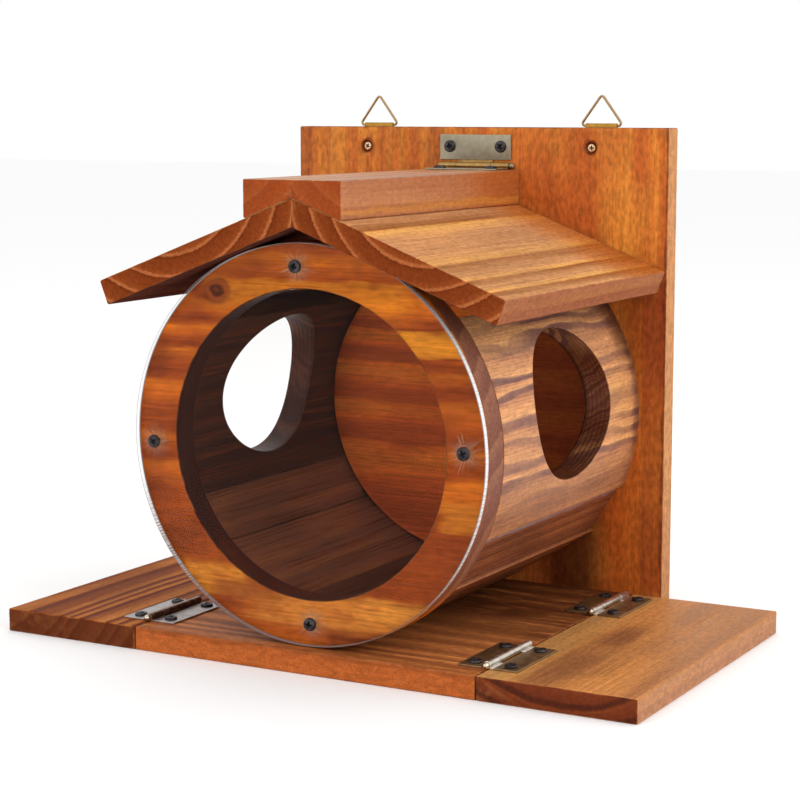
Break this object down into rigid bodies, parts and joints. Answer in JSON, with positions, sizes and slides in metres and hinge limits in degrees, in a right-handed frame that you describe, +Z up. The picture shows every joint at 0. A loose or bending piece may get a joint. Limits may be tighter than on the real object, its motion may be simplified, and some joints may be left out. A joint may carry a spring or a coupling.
{
  "type": "squirrel feeder box",
  "caption": "Wooden squirrel feeder: a barrel with a clear round window and oval side entrances, under a hinged pitched roof, on a base with folding wings.",
  "frame": {"origin": "centre of the centre board's underside, halfway between its front and rear edges", "axes": "+Z up, +X to the feeder's right as seen from the front, +Y to the back board"},
  "size_m": [0.413, 0.2426, 0.3241],
  "materials": {
    "stained_base": "torched, stained, satin",
    "stained_back": "torched, stained, satin",
    "stained_ring": "torched, stained, satin",
    "stained_stave": "torched, stained, satin",
    "stained_roof": "torched, stained, satin",
    "clear_acrylic": "clear, polished faces, sawn rim",
    "black_steel": "black oxide",
    "zinc_steel": "zinc plated",
    "antique_zinc": "yellowed zinc",
    "bronze_plate": "bronze plated",
    "bright_steel": "bright, turned",
    "brass": "polished"
  },
  "bodies": {
    "feeder": {"back_board": "stained_back", "base_back_screws": "zinc_steel", "base_board": "stained_base", "bottom_stave": "stained_stave", "front_ring": "stained_ring", "hanger_bolts": "brass", "hanger_nuts": "brass", "left_bottom_stave": "stained_stave", "left_front_hinge_inner_leaf": "bronze_plate", "left_front_hinge_pin": "bright_steel", "left_hanger_strap": "brass", "left_lower_stave": "stained_stave", "left_rear_hinge_inner_leaf": "bronze_plate", "left_rear_hinge_pin": "bright_steel", "left_side_stave": "stained_stave", "rear_disc": "stained_ring", "rear_disc_screws": "zinc_steel", "right_bottom_stave": "stained_stave", "right_front_hinge_inner_leaf": "bronze_plate", "right_front_hinge_pin": "bright_steel", "right_hanger_strap": "brass", "right_lower_stave": "stained_stave", "right_rear_hinge_inner_leaf": "bronze_plate", "right_rear_hinge_pin": "bright_steel", "right_side_stave": "stained_stave", "ring_foot_screws": "zinc_steel", "roof_hinge_back_leaf": "antique_zinc", "roof_hinge_back_screws": "black_steel", "roof_hinge_pin": "antique_zinc", "window_disc": "clear_acrylic", "window_screws": "black_steel", "wing_hinge_inner_screws": "black_steel"},
    "roof": {"left_roof_board": "stained_roof", "right_roof_board": "stained_roof", "left_ridge_block": "stained_roof", "right_ridge_block": "stained_roof", "roof_hinge_lid_leaf": "antique_zinc", "roof_hinge_lid_screws": "black_steel"},
    "left_ring": {"left_hanger_ring": "brass"},
    "right_ring": {"right_hanger_ring": "brass"},
    "left_wing": {"left_wing_board": "stained_base", "left_front_hinge_outer_leaf": "bronze_plate", "left_rear_hinge_outer_leaf": "bronze_plate", "left_wing_hinge_outer_screws": "black_steel"},
    "right_wing": {"right_wing_board": "stained_base", "right_front_hinge_outer_leaf": "bronze_plate", "right_rear_hinge_outer_leaf": "bronze_plate", "right_wing_hinge_outer_screws": "black_steel"}
  },
  "joints": [
    {"name": "roof_lift", "type": "hinge", "parent": "feeder", "child": "roof", "pos_m": [0, 0.10765, 0.27985], "axis": [-1, 0, 0], "range_deg": [0, 78]},
    {"name": "right_wing_fold", "type": "hinge", "parent": "feeder", "child": "right_wing", "pos_m": [0.11225, 0, 0.01635], "axis": [0, -1, 0], "range_deg": [0, 90]},
    {"name": "left_wing_fold", "type": "hinge", "parent": "feeder", "child": "left_wing", "pos_m": [-0.11225, 0, 0.01635], "axis": [0, 1, 0], "range_deg": [0, 90]},
    {"name": "right_ring_swing", "type": "hinge", "parent": "feeder", "child": "right_ring", "pos_m": [0.0795, 0.12658, 0.305], "axis": [1, 0, 0], "range_deg": [-160, 85]},
    {"name": "left_ring_swing", "type": "hinge", "parent": "feeder", "child": "left_ring", "pos_m": [-0.0795, 0.12658, 0.305], "axis": [1, 0, 0], "range_deg": [-160, 85]}
  ]
}
